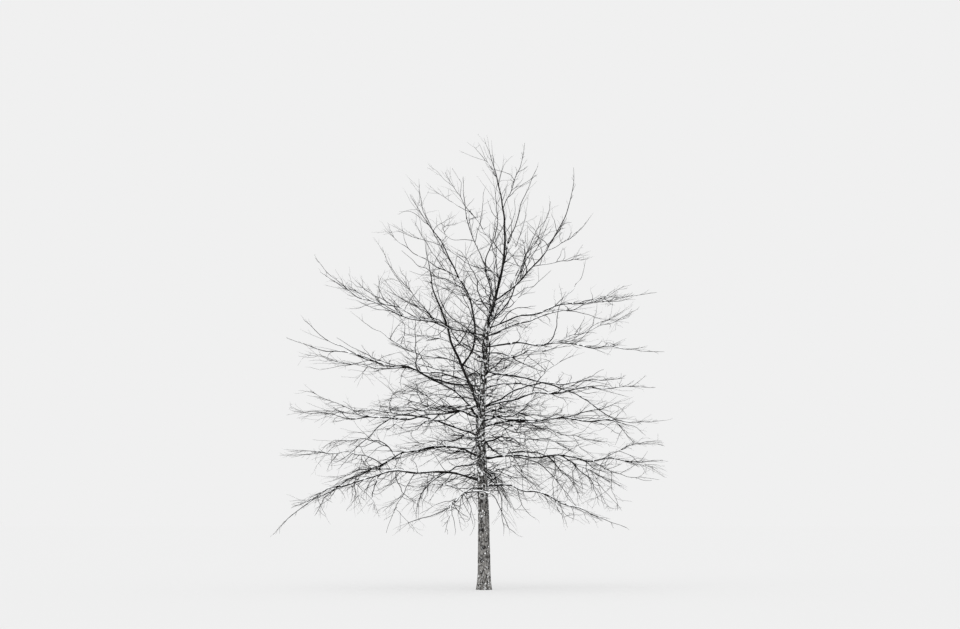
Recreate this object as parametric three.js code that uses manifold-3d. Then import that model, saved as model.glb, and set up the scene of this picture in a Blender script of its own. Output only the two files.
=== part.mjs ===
// A young park oak in winter, without its leaves: one trunk with a root flare, and 58 tapering boughs.
// Millimetres, +Z up. The origin is the middle of the flat cut at ground level, +X is the crown's
// broad side to the right, and +Y is the back.
import * as THREE from 'three';
import { mergeVertices } from 'three/addons/utils/BufferGeometryUtils.js';
import Module from 'manifold-3d';

const wasm = await Module();
wasm.setup();

// How finely the solids are faceted.
const trunkSides = 16;
const trunkRings = 26;
const boughSides = 6;
const longBoughRings = 10;
const shortBoughRings = 8;
const longBough = 1800;

// Gap left between a bough and the limb it grows from.
const jointGap = 0.3;

// Every bough ends in a shoot this thick, and swells at its foot by this part of its girth, dying out
// over this many girths.
const shootGirth = 8;
const collarSwell = 0.2;
const collarLength = 1.3;

// Girth falls as this power of the length that is left, so a bough keeps its thickness at first.
const boughTaper = 0.8;

// The trunk's rings crowd towards the ground by this power.
const ringCrowding = 1.45;

// A bough wanders to and fro by this part of its length, in this many waves, and up and down a little
// faster. The step sets each bough's waves apart from the last one's.
const wander = 0.0125;
const wanderWaves = 2.8;
const wanderUpwards = 1.3;
const wanderStep = 2.4;

// The foot of a bough is also cut clear of a neighbour's foot nearer than this many girths.
const neighbourReach = 2.2;

// The root flare's ridges: how many, how deep against the radius, and the height that they die out in.
const flare = { ridges: 5, depth: 0.08, height: 110, turn: 0.6 };

// The trunk from the ground to its fork: height, how far its middle leans across and back, and girth.
const trunkStations = [
  [0, 0, 0, 322],
  [60, 0, 0, 300],
  [130, 0, 0, 283],
  [300, 0, 0, 262],
  [600, 0, 2, 243],
  [1000, 0, 6, 228],
  [1800, -18, 14, 212],
  [2600, -50, 10, 202],
  [3100, -74, 0, 192],
  [3560, -60, -8, 178],
  [3900, -30, -8, 148],
  [4500, 5, 4, 128],
  [5000, 22, 18, 112],
  [5300, 75, 26, 92],
  [5600, 170, 28, 76],
  [5900, 222, 20, 62],
];

// The boughs. The place is a height up the trunk in mm, or a part of the way along another bough. Heading
// is the compass turn from +X towards +Y, in degrees. Reach is the level distance to the tip and rise its
// height over the foot. Leave and arrive are the slopes at foot and tip, over 90 where it leans back over
// its foot. Turn is how far it swings sideways. Girth is its thickness at the foot.
// Name, grows from, place, heading, reach, rise, leave, arrive, turn, girth.
const leaders = [
  ['leader', 'trunk', 5868, 180, 190, 3182, 110, 68, 4, 54],
  ['fork_leader', 'leader', 0.57, 320, 570, 1290, 58, 84, 6, 16],
  ['stem_left', 'trunk', 3560, 195, 1180, 3490, 66, 84, -6, 65],
  ['stem_top_right', 'leader', 0.03, 35, 1060, 2700, 72, 62, -10, 28],
  ['bough_top_outer', 'trunk', 5800, 348, 1640, 2690, 31, 94, 8, 36],
];

const leftBoughs = [
  ['bough_left_low', 'trunk', 2170, 187, 4180, -1070, 19, -54, 7, 48],
  ['hanger_left', 'bough_left_low', 0.3, 215, 670, -1200, -58, -70, 12, 13],
  ['bough_left_arch', 'trunk', 2630, 168, 3980, -1000, 36, -17, -7, 50],
  ['fork_left_arch_high', 'bough_left_arch', 0.43, 150, 1650, 270, 62, -12, 8, 22],
  ['fork_left_arch_level', 'bough_left_arch', 0.5, 184, 1880, 190, 40, 0, -8, 21],
  ['bough_left_level', 'trunk', 3720, 188, 3790, -170, -20, 6, 4, 38],
  ['bough_left_rise', 'trunk', 3330, 163, 4210, 1820, 64, 22, -6, 46],
  ['bough_left_sweep', 'bough_left_rise', 0.09, 200, 3330, 240, -10, 30, 8, 27],
  ['fork_left_rise_high', 'bough_left_rise', 0.34, 140, 1760, 1230, 60, 36, 8, 22],
  ['fork_left_rise_far', 'bough_left_rise', 0.47, 196, 1240, 540, 12, 32, -6, 16],
  ['bough_left_twin', 'stem_left', 0.18, 206, 3240, 450, 20, 20, 9, 30],
  ['bough_left_upper', 'trunk', 5100, 176, 3490, 1620, 14, 55, 7, 34],
  ['bough_left_upper_twin', 'bough_left_upper', 0.13, 158, 3180, 1330, 22, 34, -7, 22],
  ['fork_left_upper', 'bough_left_upper_twin', 0.17, 215, 1220, 1150, 46, 42, 6, 14],
];

const crossingBoughs = [
  ['bough_crossing', 'stem_left', 0.27, 195, 1100, 3440, 138, 45, 35, 44],
  ['fork_crossing_front', 'bough_crossing', 0.42, 230, 1950, 620, 15, 28, 6, 16],
  ['fork_crossing_back', 'bough_crossing', 0.5, 163, 1500, 1000, 25, 48, -6, 18],
  ['fork_crossing_high', 'bough_crossing', 0.57, 148, 810, 1700, 52, 86, 8, 17],
];

const rightBoughs = [
  ['bough_right_low', 'trunk', 2080, 328, 3280, -830, 4, -18, 6, 38],
  ['bough_right_short', 'trunk', 2230, 52, 1920, 350, 22, 8, -8, 22],
  ['bough_right_plate', 'trunk', 2620, 6, 3700, -20, 9, 5, 5, 46],
  ['fork_right_plate_high', 'bough_right_plate', 0.66, 346, 1080, 350, 24, 0, 6, 14],
  ['fork_right_plate_low', 'bough_right_plate', 0.6, 25, 1420, -390, -22, -2, -6, 15],
  ['fork_right_plate_spray', 'bough_right_plate', 0.38, 318, 1750, -620, -12, -24, 6, 17],
  ['bough_right_mid', 'trunk', 3250, 352, 3720, 120, 16, 4, -6, 46],
  ['fork_right_mid_bend', 'bough_right_mid', 0.12, 291, 2150, -800, -4, -36, 8, 23],
  ['fork_right_mid_low', 'bough_right_mid', 0.17, 38, 2480, -390, -8, -4, -7, 18],
  ['bough_right_high', 'trunk', 3640, 10, 3610, 440, 18, -2, 5, 42],
  ['fork_right_high_near', 'bough_right_high', 0.29, 40, 1150, 830, 70, 20, 6, 19],
  ['fork_right_high_far', 'bough_right_high', 0.4, 340, 1120, 470, 16, 26, 5, 17],
  ['bough_right_upper', 'trunk', 4870, 354, 3620, -120, 8, -3, 6, 36],
  ['fork_right_upper', 'bough_right_upper', 0.33, 20, 2080, 800, 18, 30, -6, 17],
  ['bough_right_top', 'trunk', 5240, 8, 3520, 790, 24, 8, 6, 32],
  ['fork_right_top', 'bough_right_top', 0.37, 50, 1210, 1100, 30, 78, 8, 15],
  ['bough_right_slant', 'trunk', 5080, 328, 3380, 670, 20, 6, -6, 26],
  ['bough_right_tip', 'trunk', 5720, 302, 2100, 520, 10, 30, 6, 18],
];

const topBoughs = [
  ['fork_top_left_high', 'leader', 0.27, 150, 1390, 1820, 50, 56, -8, 18],
  ['fork_top_left_low', 'leader', 0.12, 215, 920, 2020, 34, 92, 8, 20],
  ['fork_outer_level', 'bough_top_outer', 0.32, 30, 1330, 230, 14, 8, 6, 14],
  ['fork_outer_slant', 'bough_top_outer', 0.45, 325, 1040, 600, 15, 48, -6, 12],
  ['fork_outer_inner', 'bough_top_outer', 0.12, 52, 1400, 1950, 60, 78, -8, 20],
  ['fork_outer_front', 'bough_top_outer', 0.22, 292, 1400, 1050, 40, 60, 8, 15],
];

const frontBoughs = [
  ['bough_front_low', 'trunk', 2030, 258, 3400, -860, 0, -34, 7, 36],
  ['bough_front_plate', 'trunk', 2880, 284, 3700, -300, 12, -15, -7, 42],
  ['bough_front_mid', 'trunk', 3430, 240, 3600, 100, 12, 2, 8, 36],
  ['bough_front_high', 'trunk', 4260, 300, 3300, 420, 26, 2, 6, 30],
  ['bough_front_upper', 'trunk', 4620, 262, 3000, 520, 20, 15, -8, 26],
  ['bough_front_top', 'trunk', 5420, 248, 2300, 1000, 28, 38, 6, 20],
];

const backBoughs = [
  ['bough_back_low', 'trunk', 2350, 80, 3600, -720, 8, -32, -7, 42],
  ['bough_back_plate', 'trunk', 2960, 112, 3750, -200, 14, -10, 7, 42],
  ['bough_back_mid', 'trunk', 3500, 62, 3600, 60, 12, 0, -8, 36],
  ['bough_back_high', 'trunk', 4150, 98, 3300, 350, 20, 8, 7, 32],
  ['bough_back_upper', 'trunk', 4740, 127, 2900, 640, 22, 16, -7, 27],
  ['bough_back_top', 'trunk', 5340, 72, 2500, 980, 30, 32, 7, 22],
];

const boughRows = [
  ...leaders,
  ...leftBoughs,
  ...crossingBoughs,
  ...rightBoughs,
  ...topBoughs,
  ...frontBoughs,
  ...backBoughs,
];

// Winter bark: grey-brown and quite dull.
const trunkBark = new THREE.MeshStandardMaterial({ color: 0x75726e, roughness: 0.95, metalness: 0 });
const boughBark = new THREE.MeshStandardMaterial({ color: 0x4b4947, roughness: 0.9, metalness: 0 });

// The direction of a compass heading and a slope above level.
function direction(heading, slope) {
  const turn = THREE.MathUtils.degToRad(heading);
  const lift = THREE.MathUtils.degToRad(slope);
  return new THREE.Vector3(Math.cos(turn) * Math.cos(lift), Math.sin(turn) * Math.cos(lift), Math.sin(lift));
}

// A unit cylinder along +Y as one closed mesh: its vertices are then carried to their places.
function closedCylinder(sides, rings) {
  const cylinder = new THREE.CylinderGeometry(1, 1, 1, sides, rings);
  cylinder.deleteAttribute('normal');
  cylinder.deleteAttribute('uv');
  return mergeVertices(cylinder, 1e-4);
}

// One column of the trunk's stations at a height, on a smooth curve through them.
function trunkValue(column, height) {
  const heights = trunkStations.map((station) => station[0]);
  const last = heights.length - 1;
  const next = Math.min(last, Math.max(1, heights.findIndex((level) => level >= height)));
  const part = (height - heights[next - 1]) / (heights[next] - heights[next - 1]);
  const row = (index) => trunkStations[Math.min(last, Math.max(0, index))];
  const slope = (index) => {
    const before = row(index - 1);
    const after = row(index + 1);
    return (after[column] - before[column]) / (after[0] - before[0]);
  };
  const span = heights[next] - heights[next - 1];
  const cube = part * part * part;
  const square = part * part;
  return row(next - 1)[column] * (2 * cube - 3 * square + 1)
    + row(next)[column] * (3 * square - 2 * cube)
    + slope(next - 1) * span * (cube - 2 * square + part)
    + slope(next) * span * (cube - square);
}

// The trunk stands on level rings, close together at the flare. Swell makes it fatter all over.
function trunkGeometry(swell) {
  const geometry = closedCylinder(trunkSides, trunkRings);
  const places = geometry.attributes.position;
  const top = trunkStations.at(-1)[0];
  for (let index = 0; index < places.count; index += 1) {
    const along = places.getY(index) + 0.5;
    const height = top * along ** ringCrowding;
    const angle = Math.atan2(places.getX(index), places.getZ(index));
    const rim = Math.hypot(places.getX(index), places.getZ(index));
    const ridge = flare.depth * Math.cos(flare.ridges * (angle + flare.turn)) * Math.exp(-height / flare.height);
    const radius = rim * (trunkValue(3, height) / 2 * (1 + ridge) + swell);
    const lift = Math.round(along * trunkRings) === trunkRings ? swell : 0;
    places.setXYZ(
      index,
      trunkValue(1, height) + radius * Math.sin(angle),
      trunkValue(2, height) - radius * Math.cos(angle),
      height + lift,
    );
  }
  return geometry;
}

// A bough's middle line: a cubic curve from foot to tip with the given slopes, wandering a little.
class BoughCurve extends THREE.Curve {
  constructor(foot, row, index) {
    super();
    const [, , , heading, reach, rise, leave, arrive, turn] = row;
    const tip = direction(heading, 0).multiplyScalar(reach).add(foot);
    tip.z += rise;
    const handle = foot.distanceTo(tip) / 3;
    const out = direction(heading - turn, leave).multiplyScalar(handle).add(foot);
    const back = direction(heading + turn, arrive).multiplyScalar(-handle).add(tip);
    this.sweep = new THREE.CubicBezierCurve3(foot, out, back, tip);
    this.sideways = direction(heading + 90, 0).multiplyScalar(foot.distanceTo(tip) * wander);
    this.upwards = new THREE.Vector3(0, 0, this.sideways.length());
    this.phase = index * wanderStep;
  }

  getPoint(part, place = new THREE.Vector3()) {
    const ease = Math.sin(Math.PI * part);
    const wave = 2 * Math.PI * wanderWaves * part + this.phase;
    this.sweep.getPoint(part, place);
    place.addScaledVector(this.sideways, ease * Math.sin(wave));
    return place.addScaledVector(this.upwards, ease * Math.cos(wave * wanderUpwards));
  }
}

// A bough of round section carried along its curve, tapering to a shoot.
function boughGeometry(bough, swell) {
  const length = bough.curve.getLength();
  const rings = length > longBough ? longBoughRings : shortBoughRings;
  const geometry = closedCylinder(boughSides, rings);
  const frames = bough.curve.computeFrenetFrames(rings, false);
  const places = geometry.attributes.position;
  for (let index = 0; index < places.count; index += 1) {
    const ring = Math.round((places.getY(index) + 0.5) * rings);
    const along = ring / rings;
    const collar = bough.collar * Math.exp(-along * length / (collarLength * bough.girth));
    const taper = shootGirth + (bough.girth - shootGirth) * (1 - along) ** boughTaper;
    const radius = taper / 2 * (1 + collar) + swell;
    const place = bough.curve.getPointAt(along);
    place.addScaledVector(frames.binormals[ring], places.getX(index) * radius);
    place.addScaledVector(frames.normals[ring], places.getZ(index) * radius);
    places.setXYZ(index, place.x, place.y, place.z);
  }
  return geometry;
}

// A closed geometry as a solid that can be cut, and back again.
function toSolid(geometry) {
  return new wasm.Manifold(new wasm.Mesh({
    numProp: 3,
    vertProperties: new Float32Array(geometry.attributes.position.array),
    triVerts: new Uint32Array(geometry.index.array),
  }));
}

function toGeometry(solid) {
  const mesh = solid.getMesh();
  const geometry = new THREE.BufferGeometry();
  geometry.setAttribute('position', new THREE.BufferAttribute(new Float32Array(mesh.vertProperties), 3));
  geometry.setIndex(new THREE.BufferAttribute(new Uint32Array(mesh.triVerts), 1));
  geometry.computeVertexNormals();
  return geometry;
}

// The largest body left after a cut: a foot trimmed inside its parent can leave crumbs.
function largest(solid) {
  return solid.decompose().reduce((best, body) => (body.volume() > best.volume() ? body : best));
}

function addPart(tree, name, geometry, material) {
  const mesh = new THREE.Mesh(geometry, material);
  mesh.name = name;
  tree.add(mesh);
}

const tree = new THREE.Group();
const grown = new Map();

const trunk = trunkGeometry(0);
trunk.computeVertexNormals();
addPart(tree, 'trunk', trunk, trunkBark);
grown.set('trunk', { fat: toSolid(trunkGeometry(jointGap)), girth: 0 });

boughRows.forEach((row, index) => {
  const [name, parentName, place] = row;
  const parent = grown.get(parentName);
  const foot = parentName === 'trunk'
    ? new THREE.Vector3(trunkValue(1, place), trunkValue(2, place), place)
    : parent.curve.getPointAt(place);
  const bough = {
    name,
    parentName,
    foot,
    curve: new BoughCurve(foot, row, index),
    girth: row[9],
    collar: name === 'leader' ? 0 : collarSwell,
  };
  let solid = toSolid(boughGeometry(bough, 0)).subtract(parent.fat);
  for (const neighbour of grown.values()) {
    const near = neighbourReach * (bough.girth + neighbour.girth);
    if (neighbour.foot && neighbour !== parent && neighbour.foot.distanceTo(foot) < near) {
      solid = solid.subtract(neighbour.fat);
    }
  }
  bough.fat = toSolid(boughGeometry(bough, jointGap));
  grown.set(name, bough);
  addPart(tree, name, toGeometry(largest(solid)), boughBark);
});

export default tree;
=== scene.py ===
import math
import bpy
import numpy as np
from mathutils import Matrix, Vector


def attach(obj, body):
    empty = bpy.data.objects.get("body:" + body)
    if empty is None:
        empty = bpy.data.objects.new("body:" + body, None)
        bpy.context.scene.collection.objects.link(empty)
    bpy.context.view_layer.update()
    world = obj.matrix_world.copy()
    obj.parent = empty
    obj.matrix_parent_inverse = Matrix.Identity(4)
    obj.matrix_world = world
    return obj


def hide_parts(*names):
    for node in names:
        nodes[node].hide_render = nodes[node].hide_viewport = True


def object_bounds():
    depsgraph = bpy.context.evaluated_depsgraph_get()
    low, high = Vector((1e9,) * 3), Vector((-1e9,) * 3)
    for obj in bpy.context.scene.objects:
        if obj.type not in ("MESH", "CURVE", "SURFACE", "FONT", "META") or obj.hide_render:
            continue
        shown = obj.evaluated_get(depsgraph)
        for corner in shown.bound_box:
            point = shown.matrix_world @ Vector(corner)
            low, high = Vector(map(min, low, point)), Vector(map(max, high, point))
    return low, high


# A young park oak in winter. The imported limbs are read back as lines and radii, bark is grown round
# them, and limbs, branches, twigs and shoots grow on from them by a seeded rule. Metres, +Z up.
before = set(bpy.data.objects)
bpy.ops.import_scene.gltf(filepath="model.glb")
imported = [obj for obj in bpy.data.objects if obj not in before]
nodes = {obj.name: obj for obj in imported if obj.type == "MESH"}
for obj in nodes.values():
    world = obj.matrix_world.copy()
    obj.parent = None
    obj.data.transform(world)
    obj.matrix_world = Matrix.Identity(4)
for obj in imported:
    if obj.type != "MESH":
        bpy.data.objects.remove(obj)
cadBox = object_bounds()
up = np.array([0.0, 0.0, 1.0])


def linear(hexColour):
    # sRGB hex to linear light
    parts = [int(hexColour[i:i + 2], 16) / 255 for i in (0, 2, 4)]
    return [p / 12.92 if p <= 0.04045 else ((p + 0.055) / 1.055) ** 2.4 for p in parts] + [1.0]


# ---- camera, light and floor

studio = {
    "eyeHeight": 1.6,          # metres, a standing person's
    "distance": 45.0,
    "aim": (-0.08, 0.0, 5.53),
    "frameWidth": 19.42,       # metres across the picture at the tree
    "sensor": 36.0,            # millimetres
    "seesTo": 400.0,           # metres, past the floor's far corners
    "sky": "f0f0f0",
    "floor": "a0a0a0",
    "floorGlow": 0.465,        # part of the snow's brightness is light scattered inside it
    "floorReach": 180.0,       # metres from the middle to each edge
    "sunStrength": 1.35,
    "sunSoftness": 80,         # degrees across, as under thin cloud
    "sunLean": (48, -18),      # degrees from overhead, towards the camera and to the right
}


def makeStudio():
    scene = bpy.context.scene
    scene.view_settings.view_transform = "Standard"
    eye = np.array([studio["aim"][0], -studio["distance"], studio["eyeHeight"]])
    sight = np.array(studio["aim"]) - eye
    reach = float(np.linalg.norm(sight))
    camera = bpy.data.cameras.new("camera")
    camera.sensor_width = studio["sensor"]
    camera.lens = studio["sensor"] * reach / studio["frameWidth"]
    camera.clip_end = studio["seesTo"]
    cameraObject = bpy.data.objects.new("camera", camera)
    cameraObject.location = eye
    cameraObject.rotation_euler = (math.pi / 2 + math.asin(sight[2] / reach), 0.0, 0.0)
    scene.collection.objects.link(cameraObject)
    scene.camera = cameraObject

    world = bpy.data.worlds.new("pale sky")
    world.use_nodes = True
    background = world.node_tree.nodes["Background"]
    background.inputs["Color"].default_value = linear(studio["sky"])
    background.inputs["Strength"].default_value = 1.0
    scene.world = world

    sun = bpy.data.lights.new("soft sun", "SUN")
    sun.energy = studio["sunStrength"]
    sun.angle = math.radians(studio["sunSoftness"])
    sunObject = bpy.data.objects.new("soft sun", sun)
    sunObject.rotation_euler = (math.radians(studio["sunLean"][0]), math.radians(studio["sunLean"][1]), 0.0)
    scene.collection.objects.link(sunObject)

    side = studio["floorReach"]
    corners = [(-side, -side, 0), (side, -side, 0), (side, side, 0), (-side, side, 0)]
    ground = bpy.data.meshes.new("floor")
    ground.from_pydata(corners, [], [(0, 1, 2, 3)])
    groundObject = bpy.data.objects.new("floor", ground)
    scene.collection.objects.link(groundObject)
    material = bpy.data.materials.new("pale floor")
    material.use_nodes = True
    shader = material.node_tree.nodes["Principled BSDF"]
    shader.inputs["Base Color"].default_value = linear(studio["floor"])
    shader.inputs["Roughness"].default_value = 1.0
    shader.inputs["Specular IOR Level"].default_value = 0.0
    shader.inputs["Emission Color"].default_value = (1.0, 1.0, 1.0, 1.0)
    shader.inputs["Emission Strength"].default_value = studio["floorGlow"]
    ground.materials.append(material)
    print("studio ready")


makeStudio()

# ---- materials


def addNode(tree, kind, settings=None, **links):
    # one node, with its settings, and what feeds its sockets: a value or another node's output.
    # A socket is named with _ for a space, or numbered as in0, in1 and so on.
    node = tree.nodes.new(kind)
    for name, value in (settings or {}).items():
        setattr(node, name, value)
    for name, value in links.items():
        numbered = name[:2] == "in" and name[2:].isdigit()
        socket = node.inputs[int(name[2:]) if numbered else name.replace("_", " ")]
        if isinstance(value, bpy.types.NodeSocket):
            tree.links.new(value, socket)
        else:
            socket.default_value = value
    return node


def setStops(node, stops):
    # gives a colour ramp its stops: (place, hex colour)
    while len(node.color_ramp.elements) < len(stops):
        node.color_ramp.elements.new(1.0)
    for element, (place, colour) in zip(node.color_ramp.elements, stops):
        element.position = place
        element.color = linear(colour)


def newMaterial(name, roughness, specular):
    material = bpy.data.materials.new(name)
    material.use_nodes = True
    shader = material.node_tree.nodes["Principled BSDF"]
    shader.inputs["Roughness"].default_value = roughness
    shader.inputs["Specular IOR Level"].default_value = specular
    return material, material.node_tree, shader


trunkBark = {
    # cleft colour: partly the furrows' own dark bark, partly painted shade in them
    "cleft": "1a1918", "flank": "504e4c", "ridge": "8a8885", "snow": "f0f1f2",
    "grain": 0.006,          # metres across a fleck of cork
    "patch": 0.07,           # metres across a paler or darker patch
    "fleck": 0.040,          # metres across a fleck of held snow
    "snowAtFoot": 0.9, "snowAbove": 0.26, "snowInCrown": 0.9,
    "shade": 0.46,           # painted shade: how much darker the bark is coloured inside the crown, where the crown shades it
    "bump": 0.0025, "roughness": 0.93, "specular": 0.2,
}


def furrowedOakBark():
    # Young oak bark, split into shallow upright furrows as the trunk grew: dull grey ridges between
    # dark clefts. The relief attribute is the mesh's own, 0 in a cleft and 1 on a ridge, so colour
    # follows shape: the clefts' dark is partly the furrows' own bark and partly painted shade in the
    # hollows. Blown snow is held in flecks, thickest near the ground.
    look = trunkBark
    material, tree, shader = newMaterial("furrowed oak bark", look["roughness"], look["specular"])
    relief = addNode(tree, "ShaderNodeAttribute", {"attribute_name": "relief"}).outputs["Fac"]
    place = addNode(tree, "ShaderNodeTexCoord").outputs["Object"]
    grain = addNode(tree, "ShaderNodeTexNoise", None, Vector=place, Scale=1 / look["grain"],
                    Detail=2.0, Roughness=0.7)
    patch = addNode(tree, "ShaderNodeTexNoise", None, Vector=place, Scale=1 / look["patch"],
                    Detail=3.0, Roughness=0.6)
    rough = addNode(tree, "ShaderNodeMath", {"operation": "MULTIPLY_ADD"},
                    in0=grain.outputs["Fac"], in1=0.5, in2=-0.25)
    blotch = addNode(tree, "ShaderNodeMath", {"operation": "MULTIPLY_ADD"},
                     in0=patch.outputs["Fac"], in1=0.9, in2=-0.45)
    height = addNode(tree, "ShaderNodeMath", {"operation": "ADD"}, in0=relief, in1=rough.outputs[0])
    level = addNode(tree, "ShaderNodeSeparateXYZ", None, Vector=place).outputs["Z"]
    # painted shade: the bark's tone falls from 1.5 m to 2.5 m up and stays low above, standing in for the
    # crown's shade on the trunk
    shade = addNode(tree, "ShaderNodeMapRange", None, Value=level, From_Min=1.5, From_Max=2.5,
                    To_Min=0.0, To_Max=-look["shade"])
    mottled = addNode(tree, "ShaderNodeMath", {"operation": "ADD"},
                      in0=height.outputs[0], in1=blotch.outputs[0])
    tone = addNode(tree, "ShaderNodeMath", {"operation": "ADD"},
                   in0=mottled.outputs[0], in1=shade.outputs[0])
    # partly painted shade: tone from the relief darkens the clefts' hollows against the ridges
    bark = addNode(tree, "ShaderNodeValToRGB", None, Fac=tone.outputs[0])
    setStops(bark, [(0.05, look["cleft"]), (0.5, look["flank"]), (0.95, look["ridge"])])

    flecks = addNode(tree, "ShaderNodeTexNoise", None, Vector=place, Scale=1 / look["fleck"],
                     Detail=3.0, Roughness=0.7)
    share = addNode(tree, "ShaderNodeMapRange", None, Value=level, From_Min=0.0, From_Max=0.7,
                    To_Min=look["snowAtFoot"], To_Max=look["snowAbove"])
    inCrown = addNode(tree, "ShaderNodeMapRange", None, Value=level, From_Min=1.8, From_Max=2.4,
                      To_Min=0.0, To_Max=look["snowInCrown"])
    most = addNode(tree, "ShaderNodeMath", {"operation": "MAXIMUM"},
                   in0=share.outputs[0], in1=inCrown.outputs[0])
    held = addNode(tree, "ShaderNodeMapRange", None, Value=flecks.outputs["Fac"],
                   From_Min=0.56, From_Max=0.62)
    cover = addNode(tree, "ShaderNodeMath", {"operation": "MULTIPLY"},
                    in0=held.outputs[0], in1=most.outputs[0])
    # a healed scar's ring stands above 1 in the relief and holds broken snow, and its dish, below 0, none
    ringed = addNode(tree, "ShaderNodeMapRange", None, Value=mottled.outputs[0],
                     From_Min=1.15, From_Max=1.75, To_Min=0.0, To_Max=0.8)
    outside = addNode(tree, "ShaderNodeMapRange", None, Value=relief, From_Min=-0.3, From_Max=0.0)
    spread = addNode(tree, "ShaderNodeMath", {"operation": "MAXIMUM"},
                     in0=cover.outputs[0], in1=ringed.outputs[0])
    covered = addNode(tree, "ShaderNodeMath", {"operation": "MULTIPLY"},
                      in0=spread.outputs[0], in1=outside.outputs[0])
    snowy = addNode(tree, "ShaderNodeMix", {"data_type": "RGBA"}, in0=covered.outputs[0],
                    in6=bark.outputs["Color"], in7=linear(look["snow"]))
    bump = addNode(tree, "ShaderNodeBump", None, Strength=0.8, Distance=look["bump"], Height=rough.outputs[0])
    tree.links.new(snowy.outputs[2], shader.inputs["Base Color"])
    tree.links.new(bump.outputs[0], shader.inputs["Normal"])
    return material


boughBark = {
    "dark": "0c0b0b", "mid": "191817", "light": "444240",
    "patch": 0.06, "grain": 0.005, "bump": 0.0015, "roughness": 0.9, "specular": 0.08,
}


def smoothOakBark():
    # The thin bark of a young oak's boughs, stretched smooth: dark with damp, with a few paler
    # weathered patches and corky spots.
    look = boughBark
    material, tree, shader = newMaterial("smooth damp oak bark", look["roughness"], look["specular"])
    place = addNode(tree, "ShaderNodeTexCoord").outputs["Object"]
    patches = addNode(tree, "ShaderNodeTexNoise", None, Vector=place, Scale=1 / look["patch"],
                      Detail=3.0, Roughness=0.65)
    grain = addNode(tree, "ShaderNodeTexNoise", None, Vector=place, Scale=1 / look["grain"], Detail=2.0)
    mixed = addNode(tree, "ShaderNodeMath", {"operation": "MULTIPLY_ADD"},
                    in0=grain.outputs["Fac"], in1=0.3, in2=patches.outputs["Fac"])
    bark = addNode(tree, "ShaderNodeValToRGB", None, Fac=mixed.outputs[0])
    setStops(bark, [(0.45, look["dark"]), (0.68, look["mid"]), (0.95, look["light"])])
    bump = addNode(tree, "ShaderNodeBump", None, Strength=0.5, Distance=look["bump"], Height=mixed.outputs[0])
    tree.links.new(bark.outputs["Color"], shader.inputs["Base Color"])
    tree.links.new(bump.outputs[0], shader.inputs["Normal"])
    return material


def plainSurface(name, colour, roughness, specular):
    # one colour all over, for small joined things that are dealt their tones by spray
    material, _, shader = newMaterial(name, roughness, specular)
    shader.inputs["Base Color"].default_value = linear(colour)
    return material


furrowed = furrowedOakBark()
smooth = smoothOakBark()
# Branches a few years old, skinned like the boughs but too thin for a pattern to show.
branchTones = [
    plainSurface("damp oak branch bark", "100f0f", 0.9, 0.08),
    plainSurface("weathered oak branch bark", "242322", 0.9, 0.08),
]
# Oak shoots of one and two summers: a thin tight skin with a slight gloss, some furred with rime.
twigTones = [
    plainSurface("dark oak twig skin", "1a1918", 0.7, 0.15),
    plainSurface("grey oak twig skin", "343230", 0.75, 0.15),
    plainSurface("rimed oak twig skin", "6d6c6a", 0.85, 0.1),
]
toneShares = [0.55, 0.33, 0.12]
# Snow blown on and settled: dull, nearly white, with no shine.
settledSnow = plainSurface("settled dry snow", "f6f7f8", 0.95, 0.1)
print("materials ready")

# ---- limbs read from the frame


def weldedMesh(node):
    # the node's corners merged where they meet to a tenth of a millimetre, and its edges
    mesh = node.data
    corners = np.empty(len(mesh.vertices) * 3, np.float32)
    mesh.vertices.foreach_get("co", corners)
    corners = corners.reshape(-1, 3).astype(float)
    mesh.calc_loop_triangles()
    faces = np.empty(len(mesh.loop_triangles) * 3, np.int32)
    mesh.loop_triangles.foreach_get("vertices", faces)
    _, first, merged = np.unique(np.round(corners * 1e4), axis=0, return_index=True, return_inverse=True)
    faces = merged.ravel()[faces].reshape(-1, 3)
    edges = np.concatenate([faces[:, [0, 1]], faces[:, [1, 2]], faces[:, [2, 0]]])
    edges = np.unique(np.sort(edges, axis=1), axis=0)
    return corners[first], edges


def limbLine(node):
    # From the middle of the tip's flat end, ring by ring down to the cut foot: each ring's middle and
    # radius. The foot's own middle comes last, and the line is turned round to run foot to tip.
    # The tip's middle is the corner whose neighbours are nearest, evenly placed round it.
    corners, edges = weldedMesh(node)
    both = np.concatenate([edges, edges[:, ::-1]])
    spans = np.linalg.norm(corners[both[:, 0]] - corners[both[:, 1]], axis=1)
    count = np.bincount(both[:, 0], minlength=len(corners))
    mean = np.bincount(both[:, 0], spans, len(corners)) / count
    meanSquare = np.bincount(both[:, 0], spans ** 2, len(corners)) / count
    spread = np.sqrt(np.maximum(meanSquare - mean ** 2, 0)) / mean
    pull = np.stack([np.bincount(both[:, 0], corners[both[:, 1], k], len(corners)) for k in range(3)], 1)
    offset = np.linalg.norm(pull / count[:, None] - corners, axis=1) / mean
    level = np.full(len(corners), -1)
    front = np.array([np.argmin(spread + offset + mean * 0.5)])
    level[front] = 0
    middles, radii = [], []
    sides = int(count[front[0]])
    while True:
        reached = both[np.isin(both[:, 0], front), 1]
        front = np.unique(reached[level[reached] < 0])
        if len(front) != sides:
            break
        level[front] = len(middles) + 1
        middle = corners[front].mean(0)
        middles.append(middle)
        radii.append(np.linalg.norm(corners[front] - middle, axis=1).mean())
    left = corners[level < 0]
    if len(left):
        foot = left.mean(0)
        slope = (radii[-1] - radii[-2]) / np.linalg.norm(middles[-1] - middles[-2])
        middles.append(foot)
        radii.append(radii[-1] + slope * np.linalg.norm(foot - middles[-2]))
    return np.array(middles)[::-1], np.array(radii)[::-1]


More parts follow.
